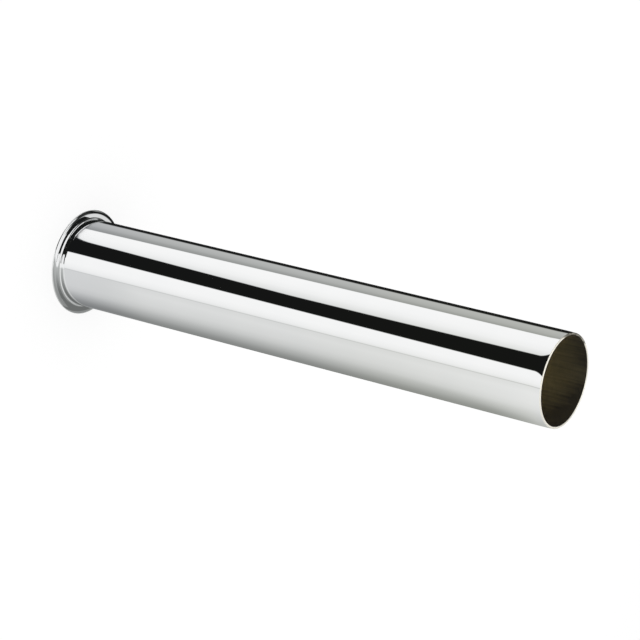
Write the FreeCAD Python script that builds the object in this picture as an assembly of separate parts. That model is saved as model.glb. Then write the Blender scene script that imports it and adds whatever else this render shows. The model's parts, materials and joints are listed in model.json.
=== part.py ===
import FreeCAD, Part
import math
import os

# Basin waste tail pipe: one straight drawn tube with a flange turned out of one end.
# Sizes are in millimetres. The flange's sealing face is at z = 0, the pipe's axis is +Z,
# and the plain cut end is at the top.

# Tube
PIPE_OD = 32.0  # outside diameter, which slides into the trap's inlet
WALL = 0.8  # thickness of the drawn tube, which it keeps round the bend and out to the rim
LENGTH = 200.0  # from the sealing face to the cut end

# Flange
FLANGE_OD = 38.6  # outside diameter of the rim, which the slip nut pulls against its seat
ROOT_RADIUS = 0.7  # hollow of the bend where the tube turns out into the flange
CROWN_RADIUS = 3.0  # crown that takes the front face down towards the rim
RIM_RADIUS = 0.28  # rounding of the rim's edge

# Plain end
ROLL_OFF_LENGTH = 3.5  # stretch where polishing has worn the outside in towards the cut
ROLL_OFF_DROP = 0.1  # how far the outside has come in at the cut
EDGE_RADIUS = 0.3  # broken outer edge of the cut
DEBURR = 0.15  # chamfer on the inner edge of the cut

ORIGIN = FreeCAD.Vector(0, 0, 0)
AXIS = FreeCAD.Vector(0, 0, 1)


def at(radius, height):
    """A point of the half section, which lies in the XZ plane."""
    return FreeCAD.Vector(radius, 0, height)


def line(start, end):
    """A straight edge of the section."""
    return Part.LineSegment(start, end).toShape()


def turn(start, centre, end):
    """The shorter arc of the section from start to end about centre."""
    radius = start.distanceToPoint(centre)
    outwards = (start + end) * 0.5 - centre
    middle = centre + outwards * (radius / outwards.Length)
    return Part.Arc(start, middle, end).toShape()


def flange_edges(outer, bore):
    """The flange, from the bore round the bend, the sealing face and the rim to the tube's outside."""
    bend_centre = at(outer + ROOT_RADIUS, WALL + ROOT_RADIUS)
    bore_bottom = at(bore, bend_centre.z)
    face_inner = at(bend_centre.x, 0)

    # The crown touches the front face from behind, and holds the rim's rounding inside it.
    rim_centre = at(FLANGE_OD / 2 - RIM_RADIUS, RIM_RADIUS)
    centre_gap = CROWN_RADIUS - RIM_RADIUS
    centre_rise = CROWN_RADIUS - WALL + RIM_RADIUS
    crown_centre = rim_centre - at(math.sqrt(centre_gap**2 - centre_rise**2), centre_rise)
    face_outer = at(rim_centre.x, 0)
    rim_end = crown_centre + (rim_centre - crown_centre) * (CROWN_RADIUS / centre_gap)
    front_outer = at(crown_centre.x, WALL)
    front_inner = at(bend_centre.x, WALL)
    root_top = at(outer, bend_centre.z)

    edges = [
        turn(bore_bottom, bend_centre, face_inner),
        line(face_inner, face_outer),
        turn(face_outer, rim_centre, rim_end),
        turn(rim_end, crown_centre, front_outer),
        line(front_outer, front_inner),
        turn(front_inner, bend_centre, root_top),
    ]
    return bore_bottom, edges, root_top


def plain_end_edges(outer, bore):
    """The cut end, from the tube's outside over the broken edge and the cut to the bore."""
    roll_radius = (ROLL_OFF_LENGTH**2 + ROLL_OFF_DROP**2) / (2 * ROLL_OFF_DROP)
    roll_start = at(outer, LENGTH - ROLL_OFF_LENGTH)
    roll_centre = at(outer - roll_radius, LENGTH - ROLL_OFF_LENGTH)

    # The broken edge touches the roll-off from inside, and the plane of the cut from below.
    centre_gap = roll_radius - EDGE_RADIUS
    centre_rise = ROLL_OFF_LENGTH - EDGE_RADIUS
    edge_centre = roll_centre + at(math.sqrt(centre_gap**2 - centre_rise**2), centre_rise)
    roll_end = roll_centre + (edge_centre - roll_centre) * (roll_radius / centre_gap)
    cut_outer = at(edge_centre.x, LENGTH)
    cut_inner = at(bore + DEBURR, LENGTH)
    bore_top = at(bore, LENGTH - DEBURR)

    edges = [
        turn(roll_start, roll_centre, roll_end),
        turn(roll_end, edge_centre, cut_outer),
        line(cut_outer, cut_inner),
        line(cut_inner, bore_top),
    ]
    return roll_start, edges, bore_top


def tail_pipe():
    """The whole pipe, turned from its half section about the axis."""
    outer = PIPE_OD / 2
    bore = outer - WALL
    bore_bottom, flange, tube_bottom = flange_edges(outer, bore)
    tube_top, plain_end, bore_top = plain_end_edges(outer, bore)
    outside = line(tube_bottom, tube_top)
    inside = line(bore_top, bore_bottom)
    section = Part.Face(Part.Wire(flange + [outside] + plain_end + [inside]))
    return section.revolve(ORIGIN, AXIS, 360)


os.makedirs("parts", exist_ok=True)
tail_pipe().exportStep("parts/tail_pipe.step")
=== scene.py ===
import json
import math

import bpy
import numpy as np
from mathutils import Matrix, Vector


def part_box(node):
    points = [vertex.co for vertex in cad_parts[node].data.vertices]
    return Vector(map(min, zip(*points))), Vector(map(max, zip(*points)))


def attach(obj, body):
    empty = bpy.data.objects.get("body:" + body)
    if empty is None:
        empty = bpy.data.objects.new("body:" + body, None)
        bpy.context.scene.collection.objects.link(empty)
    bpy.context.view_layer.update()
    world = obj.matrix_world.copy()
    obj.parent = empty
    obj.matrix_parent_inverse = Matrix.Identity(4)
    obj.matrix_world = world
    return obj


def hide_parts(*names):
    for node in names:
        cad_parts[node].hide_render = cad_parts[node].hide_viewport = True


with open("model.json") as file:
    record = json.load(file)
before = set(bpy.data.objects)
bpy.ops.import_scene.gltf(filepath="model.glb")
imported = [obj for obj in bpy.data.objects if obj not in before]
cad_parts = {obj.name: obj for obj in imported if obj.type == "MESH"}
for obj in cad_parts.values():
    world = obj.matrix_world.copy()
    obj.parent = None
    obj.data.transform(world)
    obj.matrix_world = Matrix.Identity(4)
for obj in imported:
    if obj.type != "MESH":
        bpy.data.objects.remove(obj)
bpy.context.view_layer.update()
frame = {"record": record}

# A chromed tail pipe that stands on its flange inside a light tent, which its plating mirrors.
# Lengths are in metres and angles in degrees. +Z runs from the flange to the cut end.
MM = 0.001
NODE = "tail_pipe"

# Sizes of the pipe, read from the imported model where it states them
MOUNTS = {mount["name"]: mount for mount in frame["record"]["mounts"]}
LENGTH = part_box(NODE)[1].z
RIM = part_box(NODE)[1].x
OUTER = MOUNTS["tube_outside"]["dims"]["r_mm"] * MM
BORE = MOUNTS["waterway"]["dims"]["r_mm"] * MM
WALL = OUTER - BORE
ROOT_RADIUS = 0.7 * MM
CROWN_RADIUS = 3.0 * MM
RIM_RADIUS = 0.28 * MM
ROLL_OFF_LENGTH = 3.5 * MM
ROLL_OFF_DROP = 0.1 * MM
EDGE_RADIUS = 0.3 * MM
DEBURR = 0.15 * MM

# Mesh density
AROUND = 256
LONG_STEPS = 40
SHORT_STEPS = 4
ARC_STEPS = 10

# Material slots of the pipe's mesh
CHROME, BORE_BRASS, CUT_BRASS = range(3)

# Colours of the plating and of the bare brass
CHROME_DEEP = (0.925, 0.93, 0.935)
CHROME_PALE = (0.945, 0.948, 0.95)
# The next colour is dull brass, reached through random stains and through painted shade
BORE_DULL_AND_SHADED = (0.19, 0.178, 0.155)
BORE_BRIGHT = (0.80, 0.71, 0.43)
# The next colour is painted shade on one side of the cut edge
CUT_SHADE = (0.16, 0.15, 0.12)
CUT_CREAM = (1.0, 0.95, 0.84)
CUT_PALE = (1.0, 0.97, 0.88)

# Painted shade on the bare brass: where it turns from dark to light, across X or down the bore, and the
# tones added there
BORE_SIDE = (10.5 * MM, 1.0 * MM)
BORE_SIDE_SHADE_TONES = (-0.12, 0.18)
BORE_DEPTH = (LENGTH, LENGTH - 15.0 * MM)
BORE_DEPTH_SHADE_TONES = (-0.27, 0.28)
CUT_SIDE = (-13.6 * MM, -12.4 * MM)
CUT_SIDE_SHADE_TONES = (-0.5, 0.0)

# Camera: on the -Y side, above the floor, turned so that the pipe lies across the picture
LENS = 135.9
SENSOR = 36.0
AIM_HEIGHT = 104.1 * MM
CAMERA_DISTANCE = 828.8 * MM
CAMERA_ELEVATION = 32.14
CAMERA_ROLL = -104.0

# Floor, lamp and world
WHITE = (1, 1, 1, 1)
FLOOR_SIZE = 6.0
FLOOR_COLOUR = (0.9, 0.9, 0.9, 1)
FLOOR_WHITENESS = 0.7
LAMP_SIZE = 1.2
LAMP_ENERGY = 12.0
LAMP_HEIGHT = 1.4
WORLD_FILL = 0.7

# Light tent: azimuth 0 faces the camera, and +90 faces +X.
# Its columns and rows are given as (first, last, step), and are finer where an edge is mirrored.
TENT_RADIUS = 0.6
TENT_TIP = 0.001
TENT_COLUMNS = [(-180, -104, 2), (-104, 36, 0.5), (36, 180.1, 2)]
TENT_ROWS = [
    (-1.6, -0.8, 0.4),
    (-0.8, -0.48, 0.02),
    (-0.48, -0.462, 0.003),
    (-0.462, -0.45, 0.0005),
    (-0.45, 0.02, 0.005),
    (0.02, 0.7, 0.01),
    (0.7, 1.7, 0.05),
]

# Edges of the tent's low cards, as (height, azimuth), followed from the flange's end to the cut end
FIRST_CARD_START = [(-0.45, -92), (-0.28, -97), (-0.10, -101)]
FLAG_START = [
    (-0.8, -52),
    (-0.4578, -88),
    (-0.457, -67),
    (-0.456, -58),
    (-0.454, -55),
    (-0.448, -51.5),
    (-0.37, -46.3),
    (-0.28, -41.2),
    (-0.21, -41.2),
    (-0.10, -43.5),
]
FLAG_END = [(-0.45, -14.2), (-0.28, -9.6), (-0.19, -7.3), (-0.10, -5.3)]
SECOND_CARD_END = 31.0
EDGE_SOFTNESS = 2.0

# Flare of the black flag towards the cut end: its heights, and how far its two edges move
FLARE_HEIGHTS = (-0.10, -0.02)
FLARE_OF_START = -10.5
FLARE_OF_END = 8.0

# Brightness of the low cards, as (azimuth, brightness)
GREY_WALL = [(-140, 0.012), (-136, 0.49), (-126, 0.49), (-112, 0.45), (-102, 0.36), (-95, 0.31)]
FIRST_CARD = [(-90, 0.98), (-72, 0.97), (-59, 0.93), (-51, 0.86), (-42, 0.77)]
BLACK_FLAG = 0.008
SECOND_CARD = [(-6, 0.97), (11, 0.965), (22, 0.92), (27, 0.87), (29, 0.8), (30, 0.58)]
FADE = [(32, 0.73), (46, 0.76), (72, 0.70), (87, 0.62), (104, 0.48), (126, 0.33), (141, 0.27), (180, 0.22)]

# The fading wall is dimmer by the flange, and lighter towards the cut end
FLANGE_HEIGHTS = (-0.385, -0.43)
FLANGE_DIM = [(32, 0.05), (46, 0.085), (87, 0.02), (120, 0.045), (150, 0.03), (180, -0.18)]
CUT_HEIGHTS = (-0.28, -0.10)
CUT_LIFT = [(32, 0.06), (72, 0.11), (126, 0.24)]
CUT_POWER = [(90, 2), (130, 7)]
CUT_DRIFT = 0.3

# A dark stretch under the first card, with its top as (azimuth, height); further down it thins out
SHADE_TOP = [(-130, -0.4562), (-90, -0.4568), (-60, -0.4576)]
SHADE_SOFTNESS = 0.0005
SHADE_SIDE = (-14, -18)
SHADE_FADE = (-0.62, -0.462)

# Rings of cards above, from low to high, as (azimuth, brightness), and the heights where they start
SIDE_RING = [
    (-156, 0.015),
    (-150, 0.25),
    (-136, 0.2),
    (-130, 0.012),
    (17, 0.012),
    (20, 0.96),
    (28, 0.96),
    (31, 0.8),
    (60, 0.7),
    (90, 0.5),
    (120, 0.32),
    (180, 0.25),
]
SIDE_HEIGHTS = (0.14, 0.18)
GAP_RING = [
    (-176, 0.74),
    (-170, 0.01),
    (20, 0.01),
    (22, 0.96),
    (28, 0.96),
    (34, 0.52),
    (75, 0.28),
    (100, 0.19),
    (120, 0.165),
]
GAP_HEIGHTS = (0.39, 0.41)
HIGH_FADE = [(20, 0.97), (32, 0.52), (60, 0.47), (90, 0.4), (120, 0.34)]
UPPER_RING = [(-172, 0.6), (-166, 0.03), (-66, 0.03), (-63, 0.97), *HIGH_FADE, (170, 0.25), (176, 0.6)]
UPPER_START = [(-12, 0.5), (-4, 0.6), (20, 0.6), (26, 0.5)]
UPPER_SOFTNESS = 0.02
ROOF_RING = [(-168, 0.95), (-160, 0.05), (-150, 0.05), (-130, 0.97), *HIGH_FADE, (160, 0.3), (168, 0.95)]
ROOF_HEIGHTS = (0.74, 0.84)

# A white wedge in the gap ring, with its start as (height, azimuth)
WEDGE = 0.96
WEDGE_START = [(0.41, 20), (0.463, -7), (0.515, 20)]
WEDGE_END = (28, 24)

# Tint of the tent's greys: how much red they lose, and how much blue, as (height, share)
RED_LOSS = 0.04
BLUE_LOSS = [(-0.45, -0.03), (-0.40, 0.02), (-0.28, 0.04), (-0.20, 0.095), (-0.10, 0.11), (0.0, 0.02)]


def line_samples(start, end, steps):
    """Points of a straight stretch of the section, each with the normal on its right-hand side."""
    (r0, z0), (r1, z1) = start, end
    length = math.hypot(r1 - r0, z1 - z0)
    normal = ((z1 - z0) / length, -(r1 - r0) / length)
    return [(r0 + (r1 - r0) * i / steps, z0 + (z1 - z0) * i / steps, *normal) for i in range(steps + 1)]


def arc_samples(centre, radius, start_deg, end_deg, steps):
    """Points of an arc of the section; turning left bulges outwards, turning right is hollow."""
    side = 1 if end_deg > start_deg else -1
    samples = []
    for i in range(steps + 1):
        angle = math.radians(start_deg + (end_deg - start_deg) * i / steps)
        across, up = math.cos(angle), math.sin(angle)
        samples.append((centre[0] + radius * across, centre[1] + radius * up, side * across, side * up))
    return samples


def pipe_section():
    """The closed half section, as (material, samples) stretches that follow the metal on their left."""
    bend_centre = (OUTER + ROOT_RADIUS, WALL + ROOT_RADIUS)
    rim_centre = (RIM - RIM_RADIUS, RIM_RADIUS)
    crown_gap = CROWN_RADIUS - RIM_RADIUS
    crown_rise = CROWN_RADIUS - WALL + RIM_RADIUS
    rim_turn = math.degrees(math.asin(crown_rise / crown_gap))
    crown_centre = (rim_centre[0] - math.sqrt(crown_gap**2 - crown_rise**2), WALL - CROWN_RADIUS)
    roll_radius = (ROLL_OFF_LENGTH**2 + ROLL_OFF_DROP**2) / (2 * ROLL_OFF_DROP)
    roll_centre = (OUTER - roll_radius, LENGTH - ROLL_OFF_LENGTH)
    edge_gap = roll_radius - EDGE_RADIUS
    edge_rise = ROLL_OFF_LENGTH - EDGE_RADIUS
    roll_turn = math.degrees(math.asin(edge_rise / edge_gap))
    edge_centre = (roll_centre[0] + math.sqrt(edge_gap**2 - edge_rise**2), LENGTH - EDGE_RADIUS)
    return [
        (BORE_BRASS, line_samples((BORE, LENGTH - DEBURR), (BORE, bend_centre[1]), LONG_STEPS)),
        (CHROME, arc_samples(bend_centre, ROOT_RADIUS + WALL, 180, 270, ARC_STEPS)),
        (CHROME, line_samples((bend_centre[0], 0), (rim_centre[0], 0), SHORT_STEPS)),
        (CHROME, arc_samples(rim_centre, RIM_RADIUS, -90, rim_turn, 2 * ARC_STEPS)),
        (CHROME, arc_samples(crown_centre, CROWN_RADIUS, rim_turn, 90, ARC_STEPS)),
        (CHROME, line_samples((crown_centre[0], WALL), (bend_centre[0], WALL), SHORT_STEPS)),
        (CHROME, arc_samples(bend_centre, ROOT_RADIUS, 270, 180, ARC_STEPS)),
        (CHROME, line_samples((OUTER, bend_centre[1]), (OUTER, LENGTH - ROLL_OFF_LENGTH), LONG_STEPS)),
        (CHROME, arc_samples(roll_centre, roll_radius, 0, roll_turn, ARC_STEPS)),
        (CUT_BRASS, arc_samples(edge_centre, EDGE_RADIUS, roll_turn, 90, ARC_STEPS)),
        (CUT_BRASS, line_samples((edge_centre[0], LENGTH), (BORE + DEBURR, LENGTH), SHORT_STEPS)),
        (CUT_BRASS, line_samples((BORE + DEBURR, LENGTH), (BORE, LENGTH - DEBURR), SHORT_STEPS)),
    ]


def turned_mesh(name, stretches):
    """A closed mesh turned from the section about Z, with the section's own normals at every corner."""
    turns = [2 * math.pi * k / AROUND for k in range(AROUND)]
    circle = [(math.cos(turn), math.sin(turn)) for turn in turns]
    points = [sample[:2] for _, samples in stretches for sample in samples[:-1]]
    vertices = [(radius * x, radius * y, height) for radius, height in points for x, y in circle]
    faces, slots, normals = [], [], []
    ring = 0
    for slot, samples in stretches:
        for start, end in zip(samples, samples[1:]):
            here = ring * AROUND
            there = (ring + 1) % len(points) * AROUND
            for k in range(AROUND):
                after = (k + 1) % AROUND
                faces.append((here + k, here + after, there + after, there + k))
                slots.append(slot)
                for (_, _, across, up), corner in ((start, k), (start, after), (end, after), (end, k)):
                    x, y = circle[corner]
                    normals.append((across * x, across * y, up))
            ring += 1
    mesh = bpy.data.meshes.new(name)
    mesh.from_pydata(vertices, [], faces)
    mesh.polygons.foreach_set("material_index", slots)
    mesh.polygons.foreach_set("use_smooth", [True] * len(faces))
    mesh.normals_split_custom_set(normals)
    mesh.update()
    return mesh


class Nodes:
    """A small helper that adds and links the nodes of one material or world."""

    def __init__(self, owner):
        owner.use_nodes = True
        self.tree = owner.node_tree
        self.tree.nodes.clear()

    def add(self, kind, inputs=None, **settings):
        """A node with its settings, and with each input linked to a socket or set to a value."""
        node = self.tree.nodes.new(kind)
        for key, value in settings.items():
            setattr(node, key, value)
        for key, value in (inputs or {}).items():
            if isinstance(value, bpy.types.NodeSocket):
                self.tree.links.new(value, node.inputs[key])
            else:
                node.inputs[key].default_value = value
        return node

    def ramp(self, factor, stops):
        """A colour that changes along (position, colour) stops."""
        node = self.add("ShaderNodeValToRGB", {"Fac": factor})
        ramp = node.color_ramp
        while len(ramp.elements) < len(stops):
            ramp.elements.new(0.5)
        for element, (position, colour) in zip(ramp.elements, stops):
            element.position = position
            element.color = (*colour, 1.0)
        return node.outputs["Color"]

    def drawn_out(self, place, squeeze):
        """The place squeezed along Z, so that a pattern on it is drawn out along the pipe."""
        return self.add("ShaderNodeMapping", {"Vector": place, "Scale": (1, 1, squeeze)}).outputs["Vector"]

    def noise(self, place, scale, detail=4.0):
        """A cloudy pattern between 0 and 1."""
        inputs = {"Vector": place, "Scale": scale, "Detail": detail}
        return self.add("ShaderNodeTexNoise", inputs).outputs["Fac"]

    def span(self, value, results, limits=(0.0, 1.0)):
        """A value between two limits, carried over to two results."""
        inputs = {"Value": value, "From Min": limits[0], "From Max": limits[1]}
        inputs.update({"To Min": results[0], "To Max": results[1]})
        return self.add("ShaderNodeMapRange", inputs).outputs["Result"]

    def combine(self, operation, first, second):
        """Two values put together by a Math node."""
        return self.add("ShaderNodeMath", {0: first, 1: second}, operation=operation).outputs[0]

    def relief(self, pattern, strength, depth):
        """The normal of fine bumps that follow a pattern."""
        inputs = {"Height": pattern, "Strength": strength, "Distance": depth}
        return self.add("ShaderNodeBump", inputs).outputs["Normal"]

    def metal(self, colour, metallic, roughness, normal):
        """The surface of a metal, joined to the material's output."""
        inputs = {"Base Color": colour, "Metallic": metallic, "Roughness": roughness, "Normal": normal}
        shader = self.add("ShaderNodeBsdfPrincipled", inputs)
        self.add("ShaderNodeOutputMaterial", {"Surface": shader.outputs["BSDF"]})

    def seen(self):
        """1 for what the camera sees, straight or in metal or glass, and 0 for light on a surface."""
        path = self.add("ShaderNodeLightPath").outputs
        seen = path["Is Camera Ray"]
        for ray in ("Is Glossy Ray", "Is Transmission Ray"):
            seen = self.combine("MAXIMUM", seen, path[ray])
        return seen


def chrome_material():
    """Bright plating: a hard mirror with faint lengthwise polishing marks and slight waviness."""
    material = bpy.data.materials.new("chrome_plating")
    n = Nodes(material)
    place = n.add("ShaderNodeTexCoord").outputs["Object"]
    streaks = n.noise(n.drawn_out(place, 0.03), scale=900.0, detail=6.0)
    waves = n.noise(n.drawn_out(place, 0.25), scale=90.0, detail=2.0)
    clouds = n.noise(place, scale=60.0)
    n.metal(
        colour=n.ramp(clouds, [(0.3, CHROME_DEEP), (0.7, CHROME_PALE)]),
        metallic=1.0,
        roughness=n.span(streaks, (0.015, 0.035)),
        normal=n.relief(waves, strength=0.02, depth=0.1 * MM),
    )
    return material


def bore_material():
    """Bare drawn brass with lines along the bore and random stains, with painted shade that darkens it to an
    olive brown by the cut and on one side.
    """
    material = bpy.data.materials.new("bare_brass_bore")
    n = Nodes(material)
    place = n.add("ShaderNodeTexCoord").outputs["Object"]
    axes = n.add("ShaderNodeSeparateXYZ", {"Vector": place}).outputs
    lines = n.noise(n.drawn_out(place, 0.04), scale=1300.0, detail=6.0)
    stains = n.noise(n.drawn_out(place, 0.5), scale=120.0, detail=5.0)
    tone = n.combine("MULTIPLY", lines, stains)
    # painted shade: the brass is darker on the +X side and towards the cut end
    tone = n.combine("ADD", tone, n.span(axes["X"], BORE_SIDE_SHADE_TONES, BORE_SIDE))
    tone = n.combine("ADD", tone, n.span(axes["Z"], BORE_DEPTH_SHADE_TONES, BORE_DEPTH))
    n.metal(
        colour=n.ramp(tone, [(0.12, BORE_DULL_AND_SHADED), (0.74, BORE_BRIGHT)]),
        metallic=0.88,
        roughness=n.span(lines, (0.22, 0.42)),
        normal=n.relief(lines, strength=0.25, depth=0.05 * MM),
    )
    return material


def cut_material():
    """The cut edge: pale brass with fine rings from the cutter, with painted shade that darkens it on one
    side.
    """
    material = bpy.data.materials.new("cut_brass_edge")
    n = Nodes(material)
    place = n.add("ShaderNodeTexCoord").outputs["Object"]
    across = n.add("ShaderNodeSeparateXYZ", {"Vector": place}).outputs["X"]
    inputs = {"Vector": place, "Scale": 3000.0, "Distortion": 1.0}
    rings = n.add("ShaderNodeTexWave", inputs, wave_type="RINGS", rings_direction="Z").outputs["Fac"]
    # painted shade: the cut edge is darker on the -X side
    tone = n.combine("ADD", n.noise(place, scale=400.0), n.span(across, CUT_SIDE_SHADE_TONES, CUT_SIDE))
    n.metal(
        colour=n.ramp(tone, [(0.0, CUT_SHADE), (0.3, CUT_CREAM), (0.7, CUT_PALE)]),
        metallic=0.5,
        roughness=n.span(rings, (0.08, 0.18)),
        normal=n.relief(rings, strength=0.2, depth=0.02 * MM),
    )
    return material


def new_object(name, data):
    """An object in the scene that shows some data."""
    item = bpy.data.objects.new(name, data)
    bpy.context.scene.collection.objects.link(item)
    return item


def make_pipe():
    """The visible pipe, which stands for the solid of the same form."""
    mesh = turned_mesh(NODE + "_polished", pipe_section())
    for material in (chrome_material(), bore_material(), cut_material()):
        mesh.materials.append(material)
    pipe = new_object(mesh.name, mesh)
    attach(pipe, "root")
    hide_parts(NODE)


def smooth_step(start, end, value):
    """0 up to the start and 1 past the end, which may be the lower one, with a soft change between."""
    part = np.clip((value - start) / (end - start), 0.0, 1.0)
    return part * part * (3 - 2 * part)


def along(points, place):
    """The value at a place, on straight lines through (place, value) points."""
    places, values = zip(*points)
    return np.interp(place, places, values)


def cover(under, over, share):
    """One layer of the tent laid over another."""
    return under * (1 - share) + over * share


def fading_wall(azimuth, height):
    """The wall on the +X side, which fades towards the back."""
    by_flange = smooth_step(*FLANGE_HEIGHTS, height)
    towards_cut = np.interp(height, CUT_HEIGHTS, (0, 1))
    by_cut = np.maximum(towards_cut ** along(CUT_POWER, azimuth), CUT_DRIFT * towards_cut)
    return along(FADE, azimuth) - by_flange * along(FLANGE_DIM, azimuth) + by_cut * along(CUT_LIFT, azimuth)


def low_cards(azimuth, height):
    """The cards below the horizon: grey wall, white card, black flag, white card and fading wall."""
    flare = np.interp(height, FLARE_HEIGHTS, (0, 1)) ** 2
    layers = (
        (along(FIRST_CARD, azimuth), along(FIRST_CARD_START, height)),
        (BLACK_FLAG, along(FLAG_START, height) + FLARE_OF_START * flare),
        (along(SECOND_CARD, azimuth), along(FLAG_END, height) + FLARE_OF_END * flare),
        (fading_wall(azimuth, height), SECOND_CARD_END),
    )
    brightness = along(GREY_WALL, azimuth)
    for level, edge in layers:
        share = smooth_step(edge - EDGE_SOFTNESS / 2, edge + EDGE_SOFTNESS / 2, azimuth)
        brightness = cover(brightness, level, share)
    shade_top = along(SHADE_TOP, azimuth)
    shade = smooth_step(shade_top + SHADE_SOFTNESS, shade_top, height) * smooth_step(*SHADE_FADE, height)
    return cover(brightness, BLACK_FLAG, shade * smooth_step(*SHADE_SIDE, azimuth))


def tent_brightness(azimuth, height):
    """How bright the tent is in every direction, at one height."""
    wedge_start = along(WEDGE_START, height)
    wedge = smooth_step(wedge_start, wedge_start + EDGE_SOFTNESS, azimuth) * smooth_step(*WEDGE_END, azimuth)
    gap = cover(along(GAP_RING, azimuth), WEDGE, wedge)
    upper_start = along(UPPER_START, azimuth)
    layers = (
        (along(SIDE_RING, azimuth), smooth_step(*SIDE_HEIGHTS, height)),
        (gap, smooth_step(*GAP_HEIGHTS, height)),
        (along(UPPER_RING, azimuth), smooth_step(upper_start, upper_start + UPPER_SOFTNESS, height)),
        (along(ROOF_RING, azimuth), smooth_step(*ROOF_HEIGHTS, height)),
    )
    brightness = low_cards(azimuth, height)
    for level, share in layers:
        brightness = cover(brightness, level, share)
    return brightness


def tent_material():
    """Plain light, as bright as the tent's mesh says."""
    material = bpy.data.materials.new("light_tent")
    n = Nodes(material)
    colour = n.add("ShaderNodeAttribute", attribute_name="glow").outputs["Color"]
    light = n.add("ShaderNodeEmission", {"Color": colour})
    n.add("ShaderNodeOutputMaterial", {"Surface": light.outputs["Emission"]})
    material.cycles.emission_sampling = "NONE"
    return material


def make_tent():
    """A wall of light round the pipe, closed below and above, which only mirrors see."""
    azimuths = np.concatenate([np.arange(*stretch) for stretch in TENT_COLUMNS])
    wall = np.concatenate([np.arange(*stretch) for stretch in TENT_ROWS])
    rows = [(TENT_TIP, wall[0])] + [(TENT_RADIUS, height) for height in wall] + [(TENT_TIP, wall[-1])]
    vertices, glow = [], []
    for radius, height in rows:
        brightness = tent_brightness(azimuths, height)
        red = brightness * (1 - RED_LOSS * (1 - brightness))
        blue = brightness * (1 - along(BLUE_LOSS, height) * (1 - brightness))
        for azimuth, *colour in zip(azimuths, red, brightness, blue):
            angle = math.radians(azimuth)
            vertices.append((radius * math.sin(angle), -radius * math.cos(angle), height))
            glow.extend((*colour, 1.0))
    width = len(azimuths)
    corners = [row * width + column for row in range(len(rows) - 1) for column in range(width - 1)]
    faces = [(corner, corner + 1, corner + width + 1, corner + width) for corner in corners]
    mesh = bpy.data.meshes.new("light_tent")
    mesh.from_pydata(vertices, [], faces)
    mesh.color_attributes.new("glow", "FLOAT_COLOR", "POINT").data.foreach_set("color", glow)
    mesh.materials.append(tent_material())
    tent = new_object("light_tent", mesh)
    for ray in ("camera", "diffuse", "transmission", "volume_scatter", "shadow"):
        setattr(tent, "visible_" + ray, False)


def floor_material():
    """Matt pale grey, which the camera sees as nearly white."""
    material = bpy.data.materials.new("pale_floor")
    n = Nodes(material)
    matt = n.add("ShaderNodeBsdfDiffuse", {"Color": FLOOR_COLOUR})
    white = n.add("ShaderNodeEmission", {"Color": WHITE, "Strength": 1.0})
    share = n.combine("MULTIPLY", n.seen(), FLOOR_WHITENESS)
    mix = n.add("ShaderNodeMixShader", {0: share, 1: matt.outputs[0], 2: white.outputs[0]})
    n.add("ShaderNodeOutputMaterial", {"Surface": mix.outputs[0]})
    return material


def make_floor():
    """A plain floor that keeps the pipe's soft shadow."""
    half = FLOOR_SIZE / 2
    corners = [(-half, -half, 0), (half, -half, 0), (half, half, 0), (-half, half, 0)]
    mesh = bpy.data.meshes.new("floor")
    mesh.from_pydata(corners, [], [(0, 1, 2, 3)])
    mesh.materials.append(floor_material())
    floor = new_object("floor", mesh)
    floor.visible_glossy = False


def make_lamp():
    """A wide soft lamp overhead."""
    lamp = bpy.data.lights.new("overhead", "AREA")
    lamp.shape = "DISK"
    lamp.size = LAMP_SIZE
    lamp.energy = LAMP_ENERGY
    overhead = new_object("overhead", lamp)
    overhead.location = (0, 0, LAMP_HEIGHT)
    overhead.visible_glossy = False


def make_world():
    """An even white world, at full strength where it is seen and weaker where it lights."""
    world = bpy.data.worlds.new("studio")
    bpy.context.scene.world = world
    n = Nodes(world)
    fill = n.add("ShaderNodeBackground", {"Color": WHITE, "Strength": WORLD_FILL})
    backdrop = n.add("ShaderNodeBackground", {"Color": WHITE, "Strength": 1.0})
    mix = n.add("ShaderNodeMixShader", {0: n.seen(), 1: fill.outputs[0], 2: backdrop.outputs[0]})
    n.add("ShaderNodeOutputWorld", {"Surface": mix.outputs[0]})


def make_camera():
    """The photograph's view: the standing pipe seen from above, with the camera rolled over."""
    data = bpy.data.cameras.new("camera")
    data.lens = LENS
    data.sensor_width = SENSOR
    camera = new_object("camera", data)
    elevation = math.radians(CAMERA_ELEVATION)
    back = Vector((0, -math.cos(elevation), math.sin(elevation)))
    upright = (-back).to_track_quat("-Z", "Y").to_matrix().to_4x4()
    roll = Matrix.Rotation(math.radians(-CAMERA_ROLL), 4, "Z")
    place = Matrix.Translation(Vector((0, 0, AIM_HEIGHT)) + back * CAMERA_DISTANCE)
    camera.matrix_world = place @ upright @ roll
    bpy.context.scene.camera = camera


make_pipe()
make_tent()
make_floor()
make_lamp()
make_world()
make_camera()
bpy.context.scene.view_settings.view_transform = "Standard"
